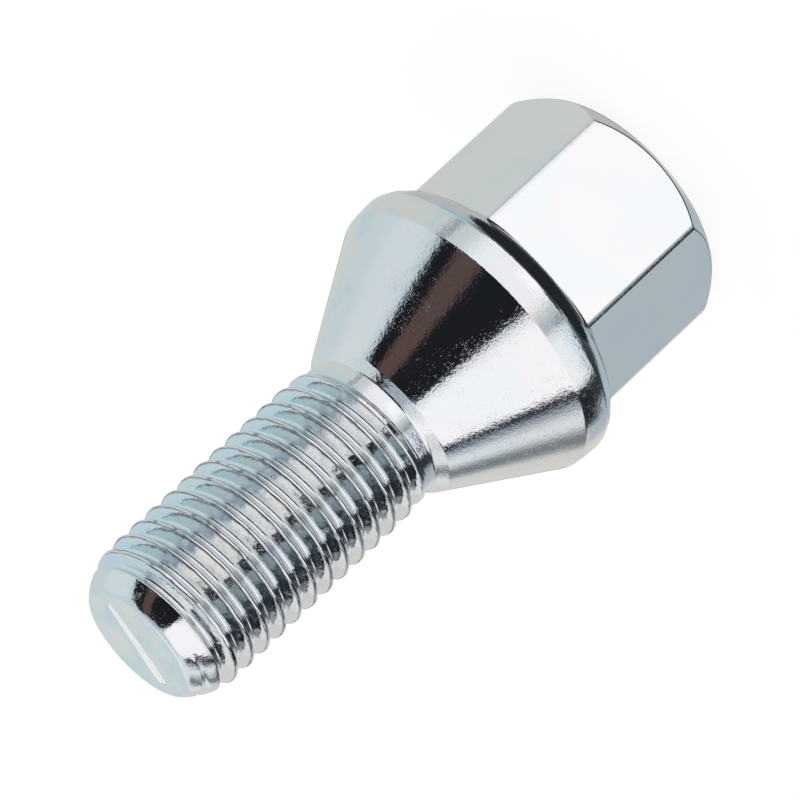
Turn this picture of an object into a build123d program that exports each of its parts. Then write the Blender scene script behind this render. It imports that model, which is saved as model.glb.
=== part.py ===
from build123d import *
from math import acos, ceil, cos, degrees, radians, sin, tan
import os

# Lug bolt for a car wheel, in millimetres. It is one piece: forged to a hexagon head, a flange and a
# 60 degree cone seat, then thread rolled (M12 x 1.5, right hand) on a thinner blank.
# It stands on its head: the origin is the middle of the head's end face, and +Z runs to the tip.

# Hexagon head: a 17 mm key size, forged to the low side of its tolerance
hex_across_flats = 16.8
hex_corner_radius = 1.6
hex_height = 11.87
hex_end_face_radius = 7.75
hex_end_chamfer_angle = 42

# Flange between the hexagon and the seat, with a slightly tapered rim and a rounded back
flange_radius = 11.0
flange_rim_width = 1.9
flange_back_height = 2.04
flange_back_rounding = 3.15
flange_back_flat_count = 4

# Cone seat that centres the wheel, with a short steeper cone between its small end and the neck
seat_cone_angle = 60
seat_large_radius = 10.86
seat_small_radius = 6.12
neck_cone_length = 0.72

# Shank from the small end of the seat to the tip, with a plain neck at blank size
shank_length = 22.93
neck_radius = 5.5
neck_length = 1.6

# Rolled thread: its ridge is a 60 degree V, with a flat root between the turns
thread_pitch = 1.5
thread_crest_radius = 5.9
thread_depth = 0.92
thread_flank_angle = 60
thread_first_crest = 0.9  # depth below the tip face at which a crest would pass the +X side

# The grooves rise to the neck, and the crests are turned down until they are just under its skin
groove_runout = 0.9
crest_runout = 2.7
crest_sink = 0.1
crest_overrun = 0.8  # how far past the last groove the sinking crest reaches

# Pointed tip: a steep chamfer, then a flatter lead-in for the thread
tip_face_radius = 4.39
tip_chamfer_length = 1.4
tip_chamfer_radius = 5.38
tip_lead_in_length = 3.3

# The shallow line that cropping the blank left across the tip face
crop_line_length = 6.6
crop_line_width = 0.3
crop_line_depth = 0.12
crop_line_angle = -23.8

# Stations along the axis, from the head's end face to the tip
z_flange_back = hex_height
z_rim_back = z_flange_back + flange_back_height
z_rim_front = z_rim_back + flange_rim_width
z_seat_end = z_rim_front + (seat_large_radius - seat_small_radius) / tan(radians(seat_cone_angle / 2))
z_groove_end = z_seat_end + neck_length
z_crest_end = z_groove_end - crest_overrun
z_tip = z_seat_end + shank_length


def arc_corners(center, radius, start_angle, end_angle, flat_count):
    """Corners of the equal flats that a rounding is turned with, as (radius, height) pairs."""
    step = (end_angle - start_angle) / flat_count
    angles = [radians(start_angle + step * corner) for corner in range(flat_count + 1)]
    return [(center[0] + radius * cos(angle), center[1] + radius * sin(angle)) for angle in angles]


# The hexagon runs into the flange, and its free end is turned to a chamfer
hex_corner_reach = hex_across_flats / 2 / sin(radians(60))
hex_chamfer_rise = (hex_corner_reach - hex_end_face_radius) * tan(radians(hex_end_chamfer_angle))
with BuildPart() as hexagon:
    with BuildSketch() as hexagon_section:
        RegularPolygon(hex_across_flats / 2, 6, major_radius=False)
        fillet(hexagon_section.vertices(), hex_corner_radius)
    extrude(amount=z_rim_back)
    with BuildSketch(Plane.YZ):
        with BuildLine():
            Polyline(
                (0, 0),
                (hex_end_face_radius, 0),
                (hex_corner_reach, hex_chamfer_rise),
                (hex_corner_reach, z_rim_back),
                (0, z_rim_back),
                close=True,
            )
        make_face()
    revolve(axis=Axis.Z, mode=Mode.INTERSECT)

# All that is round is one turned profile: flange, seat, neck and the core under the thread.
# Profiles are drawn on the YZ plane, which keeps their seam clear of the joints between thread turns.
thread_root_radius = thread_crest_radius - thread_depth
tip_chamfer_slope = (tip_chamfer_radius - tip_face_radius) / tip_chamfer_length
tip_core_reach = (thread_root_radius - tip_face_radius) / tip_chamfer_slope
flange_back_tilt = degrees(acos((flange_back_rounding - flange_back_height) / flange_back_rounding))
flange_back_reach = flange_back_rounding * sin(radians(flange_back_tilt))
flange_back_center = (flange_radius - flange_back_reach, z_flange_back + flange_back_rounding)
with BuildPart() as turned_body:
    with BuildSketch(Plane.YZ):
        with BuildLine():
            Polyline(
                (0, z_flange_back),
                (0, z_tip),
                (tip_face_radius, z_tip),
                (thread_root_radius, z_tip - tip_core_reach),
                (thread_root_radius, z_groove_end + groove_runout),
                (neck_radius, z_groove_end),
                (neck_radius, z_seat_end + neck_cone_length),
                (seat_small_radius, z_seat_end),
                (seat_large_radius, z_rim_front),
                *arc_corners(
                    flange_back_center,
                    flange_back_rounding,
                    flange_back_tilt - 90,
                    -90,
                    flange_back_flat_count,
                ),
                close=True,
            )
        make_face()
    revolve(axis=Axis.Z)

# One turn of the thread's ridge, carried once round a helix. Its foot is sunk a little into the core.
ridge_sink = 0.1
flank_slope = tan(radians(thread_flank_angle / 2))
ridge_foot_radius = thread_root_radius - ridge_sink
ridge_foot_half = (thread_crest_radius - ridge_foot_radius) * flank_slope
with BuildPart() as ridge_turn:
    with BuildLine() as helix:
        Helix(thread_pitch, thread_pitch, thread_root_radius)
    with BuildSketch(Plane.XZ):
        with BuildLine():
            Polyline(
                (ridge_foot_radius, -ridge_foot_half),
                (thread_crest_radius, 0),
                (ridge_foot_radius, ridge_foot_half),
                close=True,
            )
        make_face()
    sweep(path=helix.line, is_frenet=True)

# The turns follow one another from inside the neck to past the tip. They are turned down by the two
# tapers of the tip, and by the long taper that takes the crests down to the neck. Between the
# tapers, the outline that turns them down stands clear of the crests.
envelope_clearance = 1
envelope_radius = thread_crest_radius + envelope_clearance
lead_in_slope = (thread_crest_radius - tip_chamfer_radius) / (tip_lead_in_length - tip_chamfer_length)
runout_slope = (thread_crest_radius - neck_radius + crest_sink) / crest_runout
turn_count = ceil((z_tip - z_crest_end) / thread_pitch) + 2
z_top_turn = z_tip - thread_first_crest + thread_pitch
with BuildPart() as thread:
    with Locations([(0, 0, z_top_turn - turn * thread_pitch) for turn in range(turn_count)]):
        add(ridge_turn.part)
    with BuildSketch(Plane.YZ):
        with BuildLine():
            Polyline(
                (0, z_crest_end),
                (0, z_tip),
                (tip_face_radius, z_tip),
                (tip_chamfer_radius, z_tip - tip_chamfer_length),
                (envelope_radius, z_tip - tip_lead_in_length - envelope_clearance / lead_in_slope),
                (envelope_radius, z_crest_end + crest_runout + envelope_clearance / runout_slope),
                (neck_radius - crest_sink, z_crest_end),
                close=True,
            )
        make_face()
    revolve(axis=Axis.Z, mode=Mode.INTERSECT)

# The whole bolt, with the crop line sunk into its tip face
with BuildPart() as lug_bolt:
    add(hexagon.part)
    add(turned_body.part)
    add(thread.part)
    with BuildSketch(Plane.XY.offset(z_tip)):
        SlotOverall(crop_line_length, crop_line_width, rotation=crop_line_angle)
    extrude(amount=-crop_line_depth, mode=Mode.SUBTRACT)

lug_bolt.part.label = "lug_bolt"
os.makedirs("parts", exist_ok=True)
export_step(lug_bolt.part, "parts/lug_bolt.step")
print("overall length", round(z_tip, 2), "volume", round(lug_bolt.part.volume, 1))
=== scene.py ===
"""Wheel lug bolt in bright zinc plating, standing on its head, in metres and in the CAD's frame.

The bolt is one mesh, worked out with numpy: a hexagon head, a rounded flange, a cone seat, a neck,
a rolled thread and a pointed tip. Every row of the mesh goes once round the bolt with the same
number of columns, so the rows of all these parts join without a seam.
"""

import math

import bpy
import numpy as np
from mathutils import Matrix, Vector


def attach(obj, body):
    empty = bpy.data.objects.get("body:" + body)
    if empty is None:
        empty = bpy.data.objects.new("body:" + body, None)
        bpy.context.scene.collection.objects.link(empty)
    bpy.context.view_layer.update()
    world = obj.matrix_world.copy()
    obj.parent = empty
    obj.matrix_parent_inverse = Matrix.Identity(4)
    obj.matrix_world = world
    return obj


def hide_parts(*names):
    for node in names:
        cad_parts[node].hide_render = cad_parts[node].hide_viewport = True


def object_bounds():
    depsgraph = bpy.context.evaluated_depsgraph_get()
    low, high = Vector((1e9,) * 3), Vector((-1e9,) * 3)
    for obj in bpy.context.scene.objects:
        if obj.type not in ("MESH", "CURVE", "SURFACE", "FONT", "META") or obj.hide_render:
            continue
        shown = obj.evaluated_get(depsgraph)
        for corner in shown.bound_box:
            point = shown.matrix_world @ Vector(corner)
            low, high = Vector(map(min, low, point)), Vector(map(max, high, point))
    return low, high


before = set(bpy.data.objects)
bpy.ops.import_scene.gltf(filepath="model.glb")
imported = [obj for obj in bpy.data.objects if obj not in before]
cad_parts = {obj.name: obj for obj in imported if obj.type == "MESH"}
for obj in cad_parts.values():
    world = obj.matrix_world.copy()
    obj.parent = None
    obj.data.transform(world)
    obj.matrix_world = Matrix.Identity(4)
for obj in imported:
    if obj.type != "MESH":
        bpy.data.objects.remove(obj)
cad_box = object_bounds()

# Heights of the shoulders, from the end face of the head up to the tip
z_hex_foot = 0.01187
z_rim_back = 0.01391
z_rim_front = 0.01581
z_seat_end = 0.02402
z_neck = 0.02464
z_groove_end = 0.02545
z_tip = cad_box[1].z

# Head, flange and seat
hex_across_flats = 0.0168
hex_corner_radii = (0.0016, 0.0016, 0.0016, 0.0016, 0.0005, 0.0006)  # from +X, towards +Y
hex_offset = 0.00007  # the hexagon sits this far towards +X from the shank's axis
end_face_radius = 0.00762
end_chamfer_start_slope = 0.556
end_chamfer_bend = 171.0
flange_radius = cad_box[1].x
flange_back_rounding = 0.00315
rim_barrel_radius = 0.01296
seat_large_radius = 0.01086
seat_small_radius = 0.00616
neck_radius = 0.0055

# How far each softened edge reaches along the faces beside it
end_face_softness = 0.00012
end_chamfer_softness = 0.00010
hex_foot_softness = 0.00016
rim_back_softness = 0.00018
rim_front_softness = 0.00013
seat_end_softness = 0.00005
neck_softness = 0.00010
tip_face_softness = 0.00010

# Rolled thread, M12 x 1.5, right hand
thread_pitch = 0.0015
thread_crest_radius = 0.0059
thread_flank_angle = 60
root_rounding = 0.00024
crest_land_half_width = 0.000095
crest_land_rounding = 0.00035
crest_edge_softness = 0.00003
crest_at_plus_x = z_tip - 0.0009
thread_level_end = 0.0006
tip_rounding = 0.00529
tip_rounding_length = 0.0037
limit_softness = 0.00004
crest_runout_rounding = 0.01445
crest_runout_start = z_tip - 0.0185
groove_runout = 0.0012

# Unevenness that rolling leaves along the helix: layers of a depth, a spacing and a seed
crest_swing = ((0.000020, 0.0006, 3), (0.000012, 0.0003, 4))
land_width_change = ((0.000014, 0.0003, 5), (0.000008, 0.00015, 6))
land_height_change = ((0.000010, 0.0004, 8),)
limit_change = ((0.00002, 0.0009, 7),)
# The next layers move the painted shade lines of the laps across the crest, not the metal
lap_shade_swing = ((0.000014, 0.00025, 16), (0.000010, 0.0007, 17))
swing_reach = 0.0003  # how far from a crest its swing and its change of width reach

# Laps, painted as dark lines of shade in their creases: start, end and softness across the crest,
# mean darkness, and the layer that changes it.
# They lie beside the land towards the tip, beside it towards the head, and near that flank's foot.
lap_shade_lines = (
    (0.000100, 0.000140, 0.000025, 0.75, (0.25, 0.0006, 11)),
    (-0.00021, -0.000085, 0.000025, 0.85, (0.15, 0.0008, 12)),
    (-0.00062, -0.00052, 0.00005, 0.25, (0.20, 0.0012, 13)),
)
# Dark knots of painted shade across the crest: their line, the layer that places them, where it
# shows them, how dark they are
knot_shade_line = (-0.00010, 0.00010, 0.00002)
knot_shade_layer = (1.0, 0.0004, 14)
knot_shade_threshold = (0.62, 0.80)
knot_shade_darkness = 0.7
# The painted shade of the laps fades out at the tip and at the neck
lap_shade_fade_at_tip = (0.0012, 0.0024)  # distances from the tip, and from the end of the grooves
lap_shade_fade_at_neck = (0.0004, 0.0016)
groove_shades = (0.05, 0.60)  # shares of the thread's depth between which its tint comes in
groove_shade_end = 0.0018

# Tip face, with the line that cropping the blank left across it
tip_face_radius = 0.00433
tip_edge_height = 0.00012
crop_line_middle = (0.00005, 0.00020)
crop_line_half_length = 0.00345
crop_line_angle = -23.8
crop_line_widths = (0.00075, 0.00125)
crop_line_tilt = 7  # degrees, its floor leans towards the camera's side

columns = 192
columns_per_flat = columns // 6
columns_per_half_corner = 6
side_guard = 1.3  # the rows that keep a softened edge's sides flat are this many cuts from it
random_count = 4096
helix_start = 1.0  # keeps the way along the helix above zero


def smooth_step(value, low, high):
    """0 below low, 1 above high, and a smooth rise between them."""
    share = np.clip((value - low) / (high - low), 0, 1)
    return share * share * (3 - 2 * share)


def soft_minimum(first, second, softness):
    """The smaller of two values, with the corner where they cross rounded."""
    return 0.5 * (first + second - np.sqrt((first - second) ** 2 + softness**2))


def wander(position, spacing, seed):
    """A smooth random line between -1 and 1, with one random value at each spacing."""
    values = np.random.default_rng(seed).uniform(-1, 1, random_count)
    place = position / spacing
    start = np.floor(place).astype(int)
    share = place - start
    share = share * share * (3 - 2 * share)
    return values[start % random_count] * (1 - share) + values[(start + 1) % random_count] * share


def uneven(along, layers):
    """The sum of some random lines along the helix, each with its own depth."""
    return sum(depth * wander(along, spacing, seed) for depth, spacing, seed in layers)


def hexagon_outline():
    """The rounded hexagon, as x and y for each column, with corners towards +X and -X.

    A sixth of it is one corner and half of each flat beside it. The columns of a corner are evenly
    spaced in the direction that they face, and those of a flat are evenly spaced along it.
    """
    half_flat = columns_per_flat // 2
    index = np.arange(columns)
    corner = (index + half_flat) // columns_per_flat
    steps = (index + half_flat) % columns_per_flat - half_flat
    rounding = np.array(hex_corner_radii)[corner % 6]
    inset = (hex_across_flats / 2 - rounding) / math.cos(math.radians(30))
    facing = np.radians(np.clip(steps / columns_per_half_corner, -1, 1) * 30)
    past = np.clip(np.abs(steps) - columns_per_half_corner, 0, None)
    along = past / (half_flat - columns_per_half_corner)
    x = inset + rounding * np.cos(facing)
    y = rounding * np.sin(facing)
    x += (hex_across_flats / 2 * math.cos(math.radians(30)) - x) * along
    y += (np.sign(steps) * hex_across_flats / 2 * math.sin(math.radians(30)) - y) * along
    turn = np.radians(60) * corner
    return x * np.cos(turn) - y * np.sin(turn), x * np.sin(turn) + y * np.cos(turn)


def profile_row(radius, height):
    """One corner of a profile: its radius and its height at every column."""
    row = np.broadcast_arrays(np.asarray(radius, float), np.asarray(height, float))
    return np.stack(row, -1)


def soften(rows, cuts, steps=6):
    """The rows of a profile with its corners rounded.

    Each corner with a cut is replaced by a parabola that leaves both of its sides at that distance
    from the corner, and by one more row just outside each end, which keeps the sides flat.
    """
    made = []
    for place, (row, cut) in enumerate(zip(rows, cuts)):
        if not cut:
            made.append(row)
            continue
        before, after = rows[place - 1] - row, rows[place + 1] - row
        before /= np.linalg.norm(before, axis=-1, keepdims=True)
        after /= np.linalg.norm(after, axis=-1, keepdims=True)
        made.append(row + before * cut * side_guard)
        for t in np.linspace(0, 1, steps + 1):
            made.append(row + before * cut * (1 - t) ** 2 + after * cut * t**2)
        made.append(row + after * cut * side_guard)
    return made


def head_rows():
    """Rows of the head, the flange, the seat and the neck, from the end face up to the thread.

    The end chamfer is a shallow bowl: its height grows with the distance from the end face's edge
    and a little with the square of it. The back of the flange and its rim are arcs. Each row of the
    back is a further equal share of the turn from the hexagon's foot to the rim.
    """
    outline = np.stack(hexagon_outline(), -1)
    reach = np.linalg.norm(outline, axis=-1)
    angle = np.unwrap(np.arctan2(outline[:, 1], outline[:, 0]))
    rows, cuts = [], []

    def add(radius, height, cut=0):
        rows.append(profile_row(radius * np.ones(columns), height))
        cuts.append(cut)

    def chamfer_height(radius):
        out = radius - end_face_radius
        return end_chamfer_start_slope * out + end_chamfer_bend * out**2

    back_rise = flange_back_rounding - (z_rim_back - z_hex_foot)
    back_reach = math.sqrt(flange_back_rounding**2 - back_rise**2)
    back_center = (flange_radius - back_reach, z_hex_foot + flange_back_rounding)

    def back_height(radius):
        out = np.clip(radius - back_center[0], 0, None)
        return back_center[1] - np.sqrt(flange_back_rounding**2 - out**2)

    # The end face, the chamfer and the sides of the hexagon
    add(end_face_radius * 0.1, 0)
    add(end_face_radius, 0, end_face_softness)
    for share in (0.25, 0.5, 0.75):
        radius = end_face_radius + (reach - end_face_radius) * share
        add(radius, chamfer_height(radius))
    edge, foot = chamfer_height(reach), back_height(reach)
    add(reach, edge, end_chamfer_softness)
    for share in (0.3, 0.6, 0.85):
        add(reach, edge + (foot - edge) * share)
    add(reach, foot, hex_foot_softness)

    # The flange's back and its rim
    foot_turn = np.arcsin((reach - back_center[0]) / flange_back_rounding)
    rim_turn = math.asin((flange_radius - back_center[0]) / flange_back_rounding)
    for share in (0.2, 0.4, 0.6, 0.8):
        turn = foot_turn + (rim_turn - foot_turn) * share
        radius = back_center[0] + flange_back_rounding * np.sin(turn)
        add(radius, back_height(radius))
    add(flange_radius, z_rim_back, rim_back_softness)
    for share in (0.35, 0.65):
        height = z_rim_back + (z_rim_front - z_rim_back) * share
        add(flange_radius - (height - z_rim_back) ** 2 / (2 * rim_barrel_radius), height)
    add(seat_large_radius, z_rim_front, rim_front_softness)

    # The seat, the short steep cone and the neck
    for share in np.linspace(0.08, 0.92, 8):
        radius = seat_large_radius + (seat_small_radius - seat_large_radius) * share
        add(radius, z_rim_front + (z_seat_end - z_rim_front) * share)
    add(seat_small_radius, z_seat_end, seat_end_softness)
    add(neck_radius, z_neck, neck_softness)
    add(neck_radius, z_groove_end)

    # From the rim on, the columns turn until they are evenly spaced round the shank
    rows = np.array(soften(rows, cuts))
    even = 2 * np.pi * np.arange(columns) / columns
    share = smooth_step(rows[..., 1], z_rim_back, z_seat_end)
    turned = angle + (even - angle) * share
    offset = hex_offset * (1 - smooth_step(rows[..., 1], z_hex_foot, z_rim_back))
    return rows[..., 0] * np.cos(turned) + offset, rows[..., 0] * np.sin(turned), rows[..., 1]


def thread_section():
    """What follows from the thread's driving values: four of its measures.

    They are the slope of a flank, the radius where the two flanks of a crest would meet, the radius
    of the root's centre of rounding, and that of the root.
    """
    half_angle = math.radians(thread_flank_angle / 2)
    slope = 1 / math.tan(half_angle)
    apex = thread_crest_radius - crest_land_half_width**2 / (2 * crest_land_rounding)
    apex += slope * crest_land_half_width
    root_center = apex - slope * thread_pitch / 2 + root_rounding / math.sin(half_angle)
    return slope, apex, root_center, root_center - root_rounding


def thread_limit(height):
    """Largest radius of the thread at a height: an arc at the tip, and a long one at the neck."""
    short = np.clip(tip_rounding_length - (z_tip - height), 0, None)
    tip = thread_crest_radius - tip_rounding + np.sqrt(tip_rounding**2 - short**2)
    late = np.clip(crest_runout_start - height, 0, None)
    neck = thread_crest_radius - late**2 / (2 * crest_runout_rounding)
    return np.minimum(tip, neck)


def thread_radius(across, along, height):
    """Radius of the thread at a distance across from its crest, a way along it, and a height.

    The section is a 60 degree V. Its crest is a narrow land, rolled a little unevenly, and its root
    is an arc. The crest is limited by the rounding of the tip and by a long arc at the neck, and
    the root rises to the neck.
    """
    slope, apex, root_center, _ = thread_section()
    out = np.abs(across)
    near_crest = np.clip(1 - out / swing_reach, 0, 1)
    land = thread_crest_radius - out**2 / (2 * crest_land_rounding)
    land += uneven(along, land_height_change)
    flank = apex - slope * (out - uneven(along, land_width_change) * near_crest)
    radius = soft_minimum(land, flank, crest_edge_softness)
    root_out = thread_pitch / 2 - out
    root = root_center - np.sqrt(np.clip(root_rounding**2 - root_out**2, 0, None))
    root_width = root_rounding * math.cos(math.radians(thread_flank_angle / 2))
    radius = np.where(root_out < root_width, root, radius)
    limit = thread_limit(height) + uneven(along, limit_change)
    over = soft_minimum(radius, limit, limit_softness) - neck_radius
    fade = smooth_step(height, z_groove_end, z_groove_end + groove_runout)
    return neck_radius + np.where(over < 0, over * fade, over)


def paint_lap_shade(across, along, height):
    """How dark the painted shade is in the laps that rolling leaves along the crest, from 0 to 1.

    The shade is painted: the laps are lines beside the crest's land and a few knots across it,
    darkened as shade in their creases would darken them. They swing and come and go along the
    helix, and they fade out at the tip and at the neck.
    """
    place = across + uneven(along, lap_shade_swing)

    def line(start, end, soft):
        return smooth_step(place, start - soft, start) * (1 - smooth_step(place, end, end + soft))

    dark = 0
    for start, end, soft, mean, change in lap_shade_lines:
        dark = dark + line(start, end, soft) * (mean + uneven(along, (change,)))
    knot_shades = line(*knot_shade_line) * smooth_step(uneven(along, (knot_shade_layer,)), *knot_shade_threshold)
    dark = np.clip(dark + knot_shade_darkness * knot_shades, 0, 1)
    dark *= smooth_step(z_tip - height, *lap_shade_fade_at_tip)
    fade_start, fade_end = lap_shade_fade_at_neck
    return dark * smooth_step(height, z_groove_end + fade_start, z_groove_end + fade_end)


def pitch_places():
    """Places of the rows across one pitch, as shares of it: close at the crest, wider elsewhere."""
    crest_rows = [0, 0.00003, 0.00006, 0.00009, 0.00012, 0.00015, 0.00019, 0.00023]
    flank_rows = [0.00030, 0.00040, 0.00050]
    root_rows = [0.00057, 0.00063, 0.00069]
    half = np.array(crest_rows + flank_rows + root_rows) / thread_pitch
    return np.concatenate([half, [0.5], 1 - half[:0:-1]])


def thread_grid():
    """The thread as rows that follow its helix, cut level at both ends.

    A row's height at a column is its own place across the pitch, plus one pitch for each turn. Rows
    that have left the thread at an end stop on the level circle there, and are the same vertices:
    the grid gives the number of the row that each one stops at. One more column closes the turn,
    and there each row meets the row one pitch above it.
    """
    places = pitch_places()
    bottom, top = z_groove_end, z_tip - thread_level_end
    first = math.floor((bottom - crest_at_plus_x) / thread_pitch) - 2
    last = math.ceil((top - crest_at_plus_x) / thread_pitch) + 2
    turn, place = np.divmod(np.arange((last - first) * len(places)), len(places))
    base = crest_at_plus_x + thread_pitch * (first + turn + places[place])
    angle = 2 * np.pi * np.arange(columns + 1) / columns
    height = base[:, None] + thread_pitch * (angle / (2 * np.pi))[None, :]
    lowest = (height <= bottom).sum(0) - 1
    highest = len(base) - (height >= top).sum(0)
    row = np.arange(len(base))
    kept = np.clip(row[:, None], lowest[None, :], highest[None, :])
    above = np.clip(row + len(places), lowest[0], highest[0])
    height = np.clip(np.take_along_axis(height, kept, 0), bottom, top)

    helix = (height - crest_at_plus_x) / thread_pitch - angle[None, :] / (2 * np.pi)
    across = (helix - np.round(helix)) * thread_pitch
    turned = np.round(helix) * 2 * np.pi + angle[None, :]
    along = turned * thread_crest_radius + helix_start
    near_crest = np.clip(2 - np.abs(across) / swing_reach, 0, 1)
    across = across - uneven(along, crest_swing) * near_crest
    radius = thread_radius(across, along, height)
    lap_shades = paint_lap_shade(across, along, height)
    return radius * np.cos(angle), radius * np.sin(angle), height, lap_shades, kept, above


def crop_line_outline():
    """Edge of the crop line for each column: x, y, its distance across the line, the half width.

    The edge is an ellipse-like slot that widens towards its -X end.
    """
    turn = math.radians(crop_line_angle)
    facing = 2 * np.pi * np.arange(columns) / columns - turn
    along = crop_line_half_length * np.cos(facing)
    share = 0.5 - 0.5 * np.cos(facing)
    half_width = (crop_line_widths[0] + (crop_line_widths[1] - crop_line_widths[0]) * share) / 2
    side = half_width * np.sign(np.sin(facing)) * np.sqrt(np.abs(np.sin(facing)))
    x = crop_line_middle[0] + along * math.cos(turn) - side * math.sin(turn)
    y = crop_line_middle[1] + along * math.sin(turn) + side * math.cos(turn)
    return x, y, side, half_width


def mirror_columns():
    """For each column, the one on the other side of the crop line."""
    shift = round(2 * crop_line_angle / 360 * columns)
    return (shift - np.arange(columns)) % columns


def tip_rows():
    """Rows of the tip, from the last level circle of the thread in to the floor of the crop line.

    The tip's face is flat from its rounded edge to the crop line. The line's floor starts level
    with the face on the +Y side, and falls evenly to the other side.
    """
    even = 2 * np.pi * np.arange(columns) / columns
    full = np.ones(columns)
    heights = np.linspace(z_tip - thread_level_end, z_tip - tip_edge_height, 4)
    rows = [profile_row(thread_limit(height) * full, height) for height in heights]
    rows.append(profile_row(tip_face_radius * full, z_tip))
    rows.append(profile_row(tip_face_radius * 0.9 * full, z_tip))
    rows = np.array(soften(rows, [0, 0, 0, 0, tip_face_softness, 0]))[1:]
    x, y, z = rows[..., 0] * np.cos(even), rows[..., 0] * np.sin(even), rows[..., 1]
    slot_x, slot_y, side, half_width = crop_line_outline()
    face = np.array([0.3, 0.6, 0.85, 0.97, 1.0])[:, None]
    inward = np.array([0.08, 0.14])[:, None]
    mirror = mirror_columns()
    floor_x = slot_x + (slot_x[mirror] - slot_x) * inward
    floor_y = slot_y + (slot_y[mirror] - slot_y) * inward
    x = np.vstack([x, x[-1] + (slot_x - x[-1]) * face, floor_x])
    y = np.vstack([y, y[-1] + (slot_y - y[-1]) * face, floor_y])
    fall = (half_width - side * (1 - 2 * inward)) * math.tan(math.radians(crop_line_tilt))
    z = np.vstack([z, z_tip * np.ones((len(face), columns)), z_tip - fall])
    return x, y, z


def crop_line_floor(ring):
    """Quads across the floor of the crop line, between the two sides of its innermost ring."""
    mirror = mirror_columns()
    index = np.arange(columns)
    facing_edge = mirror[(index + 1) % columns]
    across = np.stack([ring, np.roll(ring, -1), ring[facing_edge], ring[mirror]], -1)
    return across[index < facing_edge]


def join_rings(rings):
    """Quads between each ring of vertex numbers and the next one."""
    quads = np.stack([
        rings[:-1],
        np.roll(rings[:-1], -1, axis=1),
        np.roll(rings[1:], -1, axis=1),
        rings[1:],
    ], -1)
    return quads.reshape(-1, 4)


def clean_faces(quads):
    """Quads whose corners all differ, and triangles for the quads that repeat one corner."""
    repeats = quads == np.roll(quads, -1, axis=1)
    count = repeats.sum(1)
    folded = quads[count == 1]
    first = np.argmax(repeats[count == 1], axis=1)[:, None]
    triangles = np.take_along_axis(folded, (first + np.arange(1, 4)) % 4, axis=1)
    return quads[count == 0], triangles


def bolt_mesh():
    """The whole bolt as one closed mesh: its points, quads, triangles and how dark the painted
    shade of its laps is.

    It is a fan over the end face, the head's rows, the thread, the tip's rows and the floor of the
    crop line. The head's last ring is the thread's lowest circle, and uses its vertices.
    """
    head, tip = np.stack(head_rows(), -1), np.stack(tip_rows(), -1)
    *thread, lap_shades, kept, above = thread_grid()
    thread = np.stack(thread, -1)[:, :-1]
    lap_shades = lap_shades[:, :-1]
    parts = [np.zeros((1, 3)), head, thread, tip]
    points = np.concatenate([part.reshape(-1, 3) for part in parts])
    darkness = np.zeros(len(points))
    thread_start = 1 + head.size // 3
    tip_start = thread_start + lap_shades.size
    darkness[thread_start:tip_start] = lap_shades.ravel()

    body = thread_start + kept[:, :-1] * columns + np.arange(columns)
    closed = np.hstack([body, thread_start + above[:, None] * columns])
    head_rings = 1 + np.arange(head.size // 3).reshape(head.shape[:2])
    head_rings[-1] = body[0]
    tip_rings = tip_start + np.arange(tip.size // 3).reshape(tip.shape[:2])
    helix = np.stack([closed[:-1, :-1], closed[:-1, 1:], closed[1:, 1:], closed[1:, :-1]], -1)
    quads, triangles = clean_faces(np.concatenate([
        join_rings(head_rings),
        helix.reshape(-1, 4),
        join_rings(np.vstack([body[-1], tip_rings])),
        crop_line_floor(tip_rings[-1]),
    ]))
    fan = np.stack([head_rings[0], np.zeros(columns, int), np.roll(head_rings[0], -1)], -1)
    return points, quads, np.concatenate([triangles, fan]), darkness


def build_bolt():
    """The bolt's mesh, and two attributes: how deep a point is in a groove, and how dark the
    painted shade of its lap is.
    """
    points, quads, triangles, lap_shades = bolt_mesh()
    used = np.unique(np.concatenate([quads.ravel(), triangles.ravel()]))
    number = np.full(len(points), -1)
    number[used] = np.arange(len(used))
    points = points[used]
    mesh = bpy.data.meshes.new("plated_bolt")
    mesh.from_pydata(points.tolist(), [], number[quads].tolist() + number[triangles].tolist())
    mesh.polygons.foreach_set("use_smooth", np.ones(len(mesh.polygons), bool))
    depth = thread_crest_radius - np.hypot(points[:, 0], points[:, 1])
    groove = smooth_step(depth / (thread_crest_radius - thread_section()[3]), *groove_shades)
    groove *= (points[:, 2] > z_groove_end) & (points[:, 2] < z_tip - groove_shade_end)
    # The lap attribute carries the painted shade of the laps along the crests
    for name, values in (("groove", groove), ("lap_shade", lap_shades[used])):
        attribute = mesh.attributes.new(name, "FLOAT", "POINT")
        attribute.data.foreach_set("value", values.astype(np.float32))
    mesh.update()
    bolt = bpy.data.objects.new("plated_bolt", mesh)
    bpy.context.scene.collection.objects.link(bolt)
    return bolt


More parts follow.
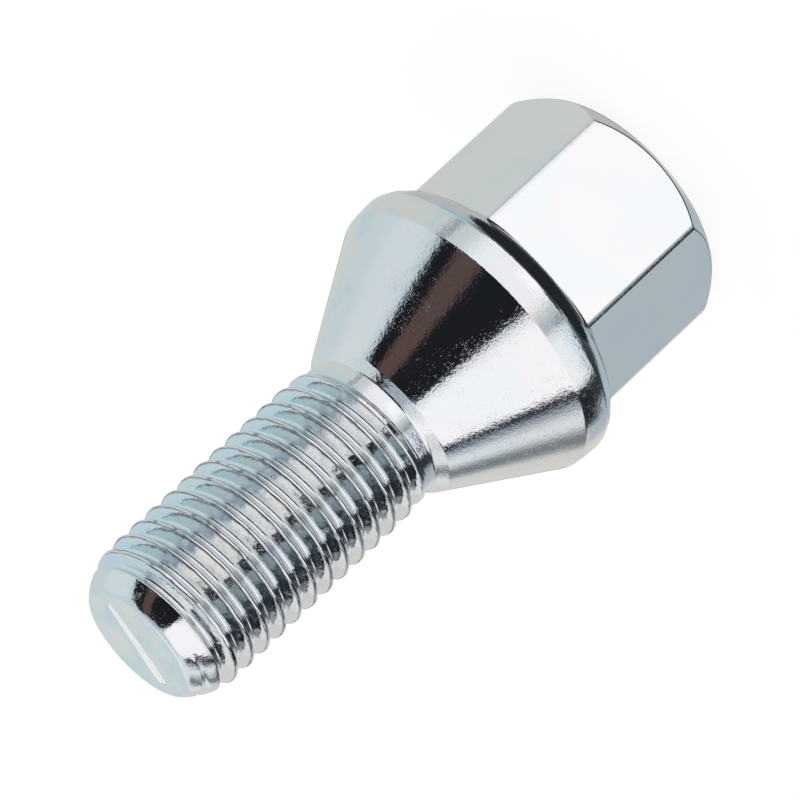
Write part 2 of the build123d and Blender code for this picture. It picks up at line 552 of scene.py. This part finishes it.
class NodeKit:
    """Short ways to add nodes to a tree. A value is a number, a colour or another node's output."""

    def __init__(self, tree):
        self.nodes, self.links = tree.nodes, tree.links

    def feed(self, value, slot):
        if isinstance(value, (int, float)):
            slot.default_value = value
        elif isinstance(value, tuple):
            slot.default_value = (*value, 1)
        else:
            self.links.new(value, slot)

    def math(self, kind, *values):
        node = self.nodes.new("ShaderNodeMath")
        node.operation = kind
        for slot, value in zip(node.inputs, values):
            self.feed(value, slot)
        return node.outputs[0]

    def times(self, first, second):
        return self.math("MULTIPLY", first, second)

    def mix(self, factor, first, second):
        node = self.nodes.new("ShaderNodeMix")
        node.data_type = "RGBA"
        for name, value in (("Factor", factor), ("A", first), ("B", second)):
            self.feed(value, node.inputs[name])
        return node.outputs["Result"]

    def ramp(self, value, low, high, start=0.0, end=1.0):
        """A smooth change from start to end while the value goes from low to high."""
        node = self.nodes.new("ShaderNodeMapRange")
        node.interpolation_type = "SMOOTHSTEP"
        ends = {"From Min": low, "From Max": high, "To Min": start, "To Max": end}
        for name, number in ends.items():
            node.inputs[name].default_value = number
        self.links.new(value, node.inputs["Value"])
        return node.outputs["Result"]

    def split(self, value):
        node = self.nodes.new("ShaderNodeSeparateXYZ")
        self.links.new(value, node.inputs[0])
        return node.outputs

    def join(self, x, y):
        node = self.nodes.new("ShaderNodeCombineXYZ")
        self.links.new(x, node.inputs["X"])
        self.links.new(y, node.inputs["Y"])
        return node.outputs[0]

    def vector(self, kind, *values):
        node = self.nodes.new("ShaderNodeVectorMath")
        node.operation = kind
        for slot, value in zip(node.inputs, values):
            self.links.new(value, slot)
        return node.outputs

    def attribute(self, name):
        node = self.nodes.new("ShaderNodeAttribute")
        node.attribute_name = name
        return node.outputs["Fac"]

    def noise(self, place, scale, detail=2.0, roughness=0.5):
        node = self.nodes.new("ShaderNodeTexNoise")
        node.inputs["Scale"].default_value = scale
        node.inputs["Detail"].default_value = detail
        node.inputs["Roughness"].default_value = roughness
        self.links.new(place, node.inputs["Vector"])
        return node.outputs["Fac"]

    def bump(self, height, depth, strength, below=None):
        node = self.nodes.new("ShaderNodeBump")
        node.inputs["Distance"].default_value = depth
        self.feed(height, node.inputs["Height"])
        self.feed(strength, node.inputs["Strength"])
        if below is not None:
            self.links.new(below, node.inputs["Normal"])
        return node.outputs["Normal"]


# Colours of the plating: a pair is what a slow noise mixes
zinc_tints = ((0.80, 0.85, 0.875), (0.84, 0.85, 0.865))
groove_tints = ((0.80, 0.83, 0.85), (0.72, 0.84, 0.89))  # the -X side, and the blue +X side
blue_cast = (0.62, 0.80, 0.92)
lilac_film = (0.80, 0.74, 0.90)
tip_face_tints = ((0.70, 0.86, 0.93), (0.90, 0.90, 0.89))
# Painted shade: the near black that the laps along the crests are darkened to
lap_shade_colour = (0.16, 0.175, 0.20)

# Where the tints and the rough skin begin and end: heights, distances from the axis, and x
off_hexagon_heights = (z_hex_foot + 0.0012, z_rim_back + 0.0004)
rounded_corner_reach = (0.00928, 0.00948)
blue_groove_side = (0.0012, 0.0048)
blue_cast_side = (0.0040, 0.0085)
tip_face_heights = (z_tip - 0.00003, z_tip - 0.00001)

# Depths of the plating's relief
peel_depth = 0.000008
grain_depth = 0.0000075
mark_depth = 0.0000024
grain_on_hexagon = 0.12


def zinc_tint(kit, place, axes, off_hexagon):
    """Colour: slow changes of tint, a blue cast on one side, and painted shade in the laps along
    the crests.
    """
    side, _, height = axes
    tint = kit.mix(kit.ramp(kit.noise(place, 220.0), 0.38, 0.62), *zinc_tints)
    blue_side = kit.ramp(side, *blue_groove_side)
    tint = kit.mix(kit.attribute("groove"), tint, kit.mix(blue_side, *groove_tints))
    cast = kit.times(
        kit.ramp(side, *blue_cast_side),
        kit.ramp(kit.noise(place, 330.0, 3.0), 0.50, 0.66),
    )
    tint = kit.mix(kit.times(kit.times(cast, off_hexagon), 0.6), tint, blue_cast)
    lilac = kit.ramp(kit.noise(place, 410.0, 2.0, 0.6), 0.60, 0.72)
    tint = kit.mix(kit.times(kit.times(lilac, off_hexagon), 0.3), tint, lilac_film)
    face = kit.ramp(height, *tip_face_heights)
    face_tint = kit.mix(kit.ramp(kit.noise(place, 300.0, 4.0, 0.6), 0.38, 0.62), *tip_face_tints)
    tint = kit.mix(face, tint, face_tint)
    # Painted shade: the lap attribute darkens the crests' laps towards a near black
    return kit.mix(kit.attribute("lap_shade"), tint, lap_shade_colour)


def zinc_relief(kit, place, axes, off_hexagon):
    """Relief: an orange peel, a finer grain, and specks and short scratches.

    The hexagon's sides have hardly any of it. Its rounded corners have the peel and the grain, but
    no specks or scratches.
    """
    reach = kit.vector("LENGTH", kit.join(axes["X"], axes["Y"]))["Value"]
    rough_place = kit.math("MAXIMUM", off_hexagon, kit.ramp(reach, *rounded_corner_reach))
    peel = kit.bump(kit.noise(place, 2400.0, 2.0, 0.6), peel_depth, rough_place)
    grain_strength = kit.math("MAXIMUM", rough_place, grain_on_hexagon)
    grain = kit.bump(kit.noise(place, 5600.0, 2.0, 0.6), grain_depth, grain_strength, peel)
    curl = kit.math("ABSOLUTE", kit.math("SUBTRACT", kit.noise(place, 4200.0, 1.0), 0.5))
    scratch = kit.times(
        kit.ramp(curl, 0.0, 0.016, 1.0, 0.0),
        kit.ramp(kit.noise(place, 1100.0), 0.60, 0.68),
    )
    specks = kit.times(
        kit.ramp(kit.noise(place, 7000.0, 1.0), 0.61, 0.68),
        kit.ramp(kit.noise(place, 450.0, 1.0), 0.35, 0.55),
    )
    marks = kit.times(kit.math("ADD", scratch, specks), off_hexagon)
    return kit.bump(marks, mark_depth, 1.0, grain)


def zinc_plating():
    """Bright zinc: a clear metal with a fine orange peel, small pits and slow changes of tint."""
    material = bpy.data.materials.new("bright_zinc")
    material.use_nodes = True
    kit = NodeKit(material.node_tree)
    shader = kit.nodes["Principled BSDF"]
    shader.inputs["Metallic"].default_value = 1.0
    place = kit.nodes.new("ShaderNodeTexCoord").outputs["Object"]
    axes = kit.split(place)
    off_hexagon = kit.ramp(axes["Z"], *off_hexagon_heights)
    haze = kit.ramp(kit.noise(place, 900.0, 4.0), 0.3, 0.7, 0.04, 0.085)
    kit.links.new(zinc_tint(kit, place, axes, off_hexagon), shader.inputs["Base Color"])
    kit.links.new(haze, shader.inputs["Roughness"])
    kit.links.new(zinc_relief(kit, place, axes, off_hexagon), shader.inputs["Normal"])
    return material


# The studio round the bolt: a pale tent with windows and cards. Azimuth 0 is the camera's side and
# 90 is the -X side, and both angles are in degrees. Each card has its range of azimuths, the
# softness of those two ends, its range of elevations, the softness of those two ends, and its
# colour. A later card hangs in front of an earlier one.
studio_cards = (
    ("front window", (-44, 18), (22, 10), (-48, 12), (8, 4), (1.00, 0.985, 1.01)),
    ("front window glare", (-9, 9), (8, 8), (-31, -18), (4, 3), (1.15, 1.11, 1.11)),
    ("side window foot", (38, 84), (14, 4), (-44, -13), (6, 8), (0.74, 0.80, 0.86)),
    ("side window", (38, 83), (14, 4), (-18, 14), (8, 3), (1.00, 0.99, 1.00)),
    ("side window top", (16, 83), (3, 4), (11, 66), (2, 12), (1.08, 1.05, 1.06)),
    ("side window top edge", (14, 23), (2, 12), (11, 40), (2, 6), (0.84, 0.86, 0.90)),
    ("left window", (-128, -78), (20, 12), (12, 45), (10, 10), (0.74, 0.78, 0.79)),
    ("wide dim streak", (26, 35), (18, 5), (-26, -2), (4, 4), (0.44, 0.49, 0.54)),
    ("dim streak", (31, 36), (4, 3), (-32, -17), (4, 4), (0.22, 0.28, 0.34)),
    ("left streak", (-69, -62), (4, 3), (-25, 12), (4, 4), (0.34, 0.38, 0.42)),
    ("blue side card", (104, 142), (14, 14), (-50, -17), (6, 4), (0.47, 0.525, 0.565)),
    ("side paper", (86, 150), (4, 12), (2, 60), (8, 10), (0.82, 0.83, 0.84)),
    ("grey side card", (118, 136), (16, 12), (-6, 30), (10, 8), (0.22, 0.235, 0.25)),
    ("side strip shade", (84, 99), (3, 17), (4, 46), (4, 10), (0.22, 0.26, 0.31)),
    ("dark side card", (82.5, 121), (4, 12), (-20.5, 6), (3, 6), (0.021, 0.024, 0.029)),
    ("dark side strip", (83, 91.5), (4, 5), (2, 42), (3, 4), (0.035, 0.038, 0.045)),
    ("blue floor", (128, 172), (12, 8), (-62, -30), (4, 6), (0.434, 0.53, 0.578)),
    ("grey floor, left", (-178, -96), (8, 26), (-62, -32), (3, 5), (0.53, 0.525, 0.52)),
    ("teal floor", (-106, -46), (26, 6), (-60, -27), (4, 5), (0.42, 0.54, 0.59)),
    ("violet edge", (-60, -50), (6, 6), (-46, -27), (4, 4), (0.34, 0.38, 0.48)),
    ("pale floor", (-44, 12), (10, 8), (-60, -29), (3, 6), (1.10, 1.03, 0.95)),
    ("black floor card", (13, 34), (4, 5), (-60, -29), (3, 3), (0.018, 0.023, 0.028)),
    ("floor edge", (38, 50), (6, 4), (-27, -24.4), (3, 2), (0.10, 0.12, 0.14)),
    ("dark floor card", (46, 84), (8, 4), (-60, -22.2), (3, 1.4), (0.050, 0.062, 0.072)),
    ("green floor", (35, 60), (5, 10), (-40, -26), (5, 4), (0.30, 0.385, 0.395)),
    ("dark floor card, far part", (81, 106), (4, 12), (-60, -19.5), (3, 2), (0.03, 0.040, 0.048)),
    ("front floor shade", (-72, 40), (14, 8), (-60, -43), (3, 4), (0.07, 0.08, 0.09)),
    ("dark floor card, end", (98, 130), (10, 16), (-60, -29), (3, 4), (0.05, 0.060, 0.070)),
    ("dark front card", (-69.5, 15.5), (3, 3), (11, 67), (4, 3), (0.0125, 0.0138, 0.0162)),
    ("brown front card", (-52.5, -31), (3, 3), (17, 60), (2, 3), (0.108, 0.070, 0.063)),
    ("top shade", (-75, 16), (14, 12), (67, 95), (3, 2), (0.42, 0.48, 0.55)),
    ("back window", (155, 205), (6, 2), (30, 62), (4, 6), (1.05, 1.02, 1.02)),
    ("far wall, left", (-200, -172), (2, 6), (-40, -12), (4, 4), (0.30, 0.31, 0.31)),
    ("far wall, right", (172, 200), (6, 2), (-40, -12), (4, 4), (0.30, 0.31, 0.31)),
    ("floor below", (-200, 200), (2, 2), (-100, -60), (2, 3), (0.018, 0.020, 0.024)),
)
tent_left_low = (0.66, 0.68, 0.66)
tent_left_high = (0.63, 0.72, 0.75)
tent_right = (0.71, 0.70, 0.655)
tent_top = (0.62, 0.70, 0.76)


def card_group():
    """Node group of one card: the colour behind it, or its own inside its two ranges of angles.

    The place is azimuth, elevation and 0. Both ends of each soft edge have that form too, and their
    third values, which nothing uses, only have to differ.
    """
    group = bpy.data.node_groups.new("studio_card", "ShaderNodeTree")
    for name in ("Place", "Low Start", "Low End", "High Start", "High End"):
        group.interface.new_socket(name, in_out="INPUT", socket_type="NodeSocketVector")
    for name in ("Behind", "Card"):
        group.interface.new_socket(name, in_out="INPUT", socket_type="NodeSocketColor")
    group.interface.new_socket("Colour", in_out="OUTPUT", socket_type="NodeSocketColor")
    kit = NodeKit(group)
    given = kit.nodes.new("NodeGroupInput").outputs

    def edge(name, before, after):
        node = kit.nodes.new("ShaderNodeMapRange")
        node.data_type = "FLOAT_VECTOR"
        node.interpolation_type = "SMOOTHSTEP"
        kit.links.new(given["Place"], node.inputs["Vector"])
        kit.links.new(given[f"{name} Start"], node.inputs["From Min"])
        kit.links.new(given[f"{name} End"], node.inputs["From Max"])
        node.inputs["To Min"].default_value = (before,) * 3
        node.inputs["To Max"].default_value = (after,) * 3
        return node.outputs["Vector"]

    inside = kit.vector("MULTIPLY", edge("Low", 0, 1), edge("High", 1, 0))[0]
    across, up, _ = kit.split(inside)
    colour = kit.mix(kit.times(across, up), given["Behind"], given["Card"])
    kit.links.new(colour, kit.nodes.new("NodeGroupOutput").inputs["Colour"])
    return group


def studio_world():
    """World: the tent and its cards, and plain white for what the camera sees straight on."""
    world = bpy.data.worlds.new("studio")
    bpy.context.scene.world = world
    world.use_nodes = True
    kit = NodeKit(world.node_tree)
    kit.nodes.clear()

    # The direction, as a share of the way to -X and as two angles
    x, y, z = kit.split(kit.nodes.new("ShaderNodeTexCoord").outputs["Generated"])
    right = kit.times(x, -1.0)
    azimuth = kit.math("DEGREES", kit.math("ARCTAN2", right, kit.times(y, -1.0)))
    elevation = kit.math("DEGREES", kit.math("ARCSINE", z))
    place = kit.join(azimuth, elevation)

    left = kit.mix(kit.ramp(elevation, -20, 20), tent_left_low, tent_left_high)
    colour = kit.mix(kit.ramp(right, -0.4, 0.4), left, tent_right)
    colour = kit.mix(kit.ramp(elevation, 55, 69), colour, tent_top)
    group = card_group()
    for name, azimuths, azimuth_softness, elevations, elevation_softness, shade in studio_cards:
        card = kit.nodes.new("ShaderNodeGroup")
        card.node_tree = group
        card.label = name
        kit.links.new(place, card.inputs["Place"])
        corners = zip(azimuths, elevations)
        softnesses = zip(azimuth_softness, elevation_softness)
        for end, angles, softness in zip(("Low", "High"), corners, softnesses):
            for stage, way in (("Start", -0.5), ("End", 0.5)):
                edge = [angle + soft * way for angle, soft in zip(angles, softness)]
                card.inputs[f"{end} {stage}"].default_value = (*edge, way)
        card.inputs["Card"].default_value = (*shade, 1)
        kit.links.new(colour, card.inputs["Behind"])
        colour = card.outputs["Colour"]

    path = kit.nodes.new("ShaderNodeLightPath").outputs
    seen = kit.math("MAXIMUM", path["Is Camera Ray"], path["Is Transmission Ray"])
    background = kit.nodes.new("ShaderNodeBackground")
    kit.links.new(kit.mix(seen, colour, (1.0, 1.0, 1.0)), background.inputs["Color"])
    output = kit.nodes.new("ShaderNodeOutputWorld")
    kit.links.new(background.outputs[0], output.inputs["Surface"])


floor_half_size = 3.0
floor_grey = (0.25, 0.25, 0.25)
floor_glow = 0.86


def studio_floor():
    """A pale floor under the head, nearly white by itself, which still takes the bolt's shadow."""
    sides = ((-1, -1), (1, -1), (1, 1), (-1, 1))
    corners = [(x * floor_half_size, y * floor_half_size, 0) for x, y in sides]
    mesh = bpy.data.meshes.new("floor")
    mesh.from_pydata(corners, [], [(0, 1, 2, 3)])
    floor = bpy.data.objects.new("floor", mesh)
    bpy.context.scene.collection.objects.link(floor)
    material = bpy.data.materials.new("floor_paper")
    material.use_nodes = True
    shader = material.node_tree.nodes["Principled BSDF"]
    shader.inputs["Base Color"].default_value = (*floor_grey, 1)
    shader.inputs["Roughness"].default_value = 1.0
    shader.inputs["Specular IOR Level"].default_value = 0.0
    shader.inputs["Emission Color"].default_value = (1, 1, 1, 1)
    shader.inputs["Emission Strength"].default_value = floor_glow
    mesh.materials.append(material)
    floor.visible_glossy = False


# The camera: where it looks at the bolt's axis, how far away it is, and how it is turned
camera_elevation = 22.50
camera_distance = 0.4526
camera_aim_height = z_tip - 0.02494
camera_aim_side = 0.000072
camera_roll = 42.86
camera_focal_pixels = 6892.0
image_pixels = 800


def photo_camera():
    """The camera stands on the -Y side and is rolled until the tip points to the lower left."""
    up = math.radians(camera_elevation)
    roll = math.radians(camera_roll)
    back = Vector((0, -math.cos(up), math.sin(up)))
    tip_way = Vector((0, math.sin(up), math.cos(up)))
    side = Vector((1, 0, 0))
    right = -math.cos(roll) * tip_way - math.sin(roll) * side
    above = -math.sin(roll) * tip_way + math.cos(roll) * side
    place = Vector((camera_aim_side, 0, camera_aim_height)) + back * camera_distance
    data = bpy.data.cameras.new("camera")
    data.sensor_width = 36
    data.lens = camera_focal_pixels / image_pixels * data.sensor_width
    data.clip_start = 0.05
    data.clip_end = 10
    camera = bpy.data.objects.new("camera", data)
    bpy.context.scene.collection.objects.link(camera)
    turned = Matrix((right, above, back)).transposed()
    camera.matrix_world = Matrix.Translation(place) @ turned.to_4x4()
    bpy.context.scene.camera = camera


bpy.context.scene.view_settings.view_transform = "Standard"
photo_camera()
studio_world()
studio_floor()

bolt = build_bolt()
bolt.data.materials.append(zinc_plating())
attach(bolt, "root")
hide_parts("lug_bolt")
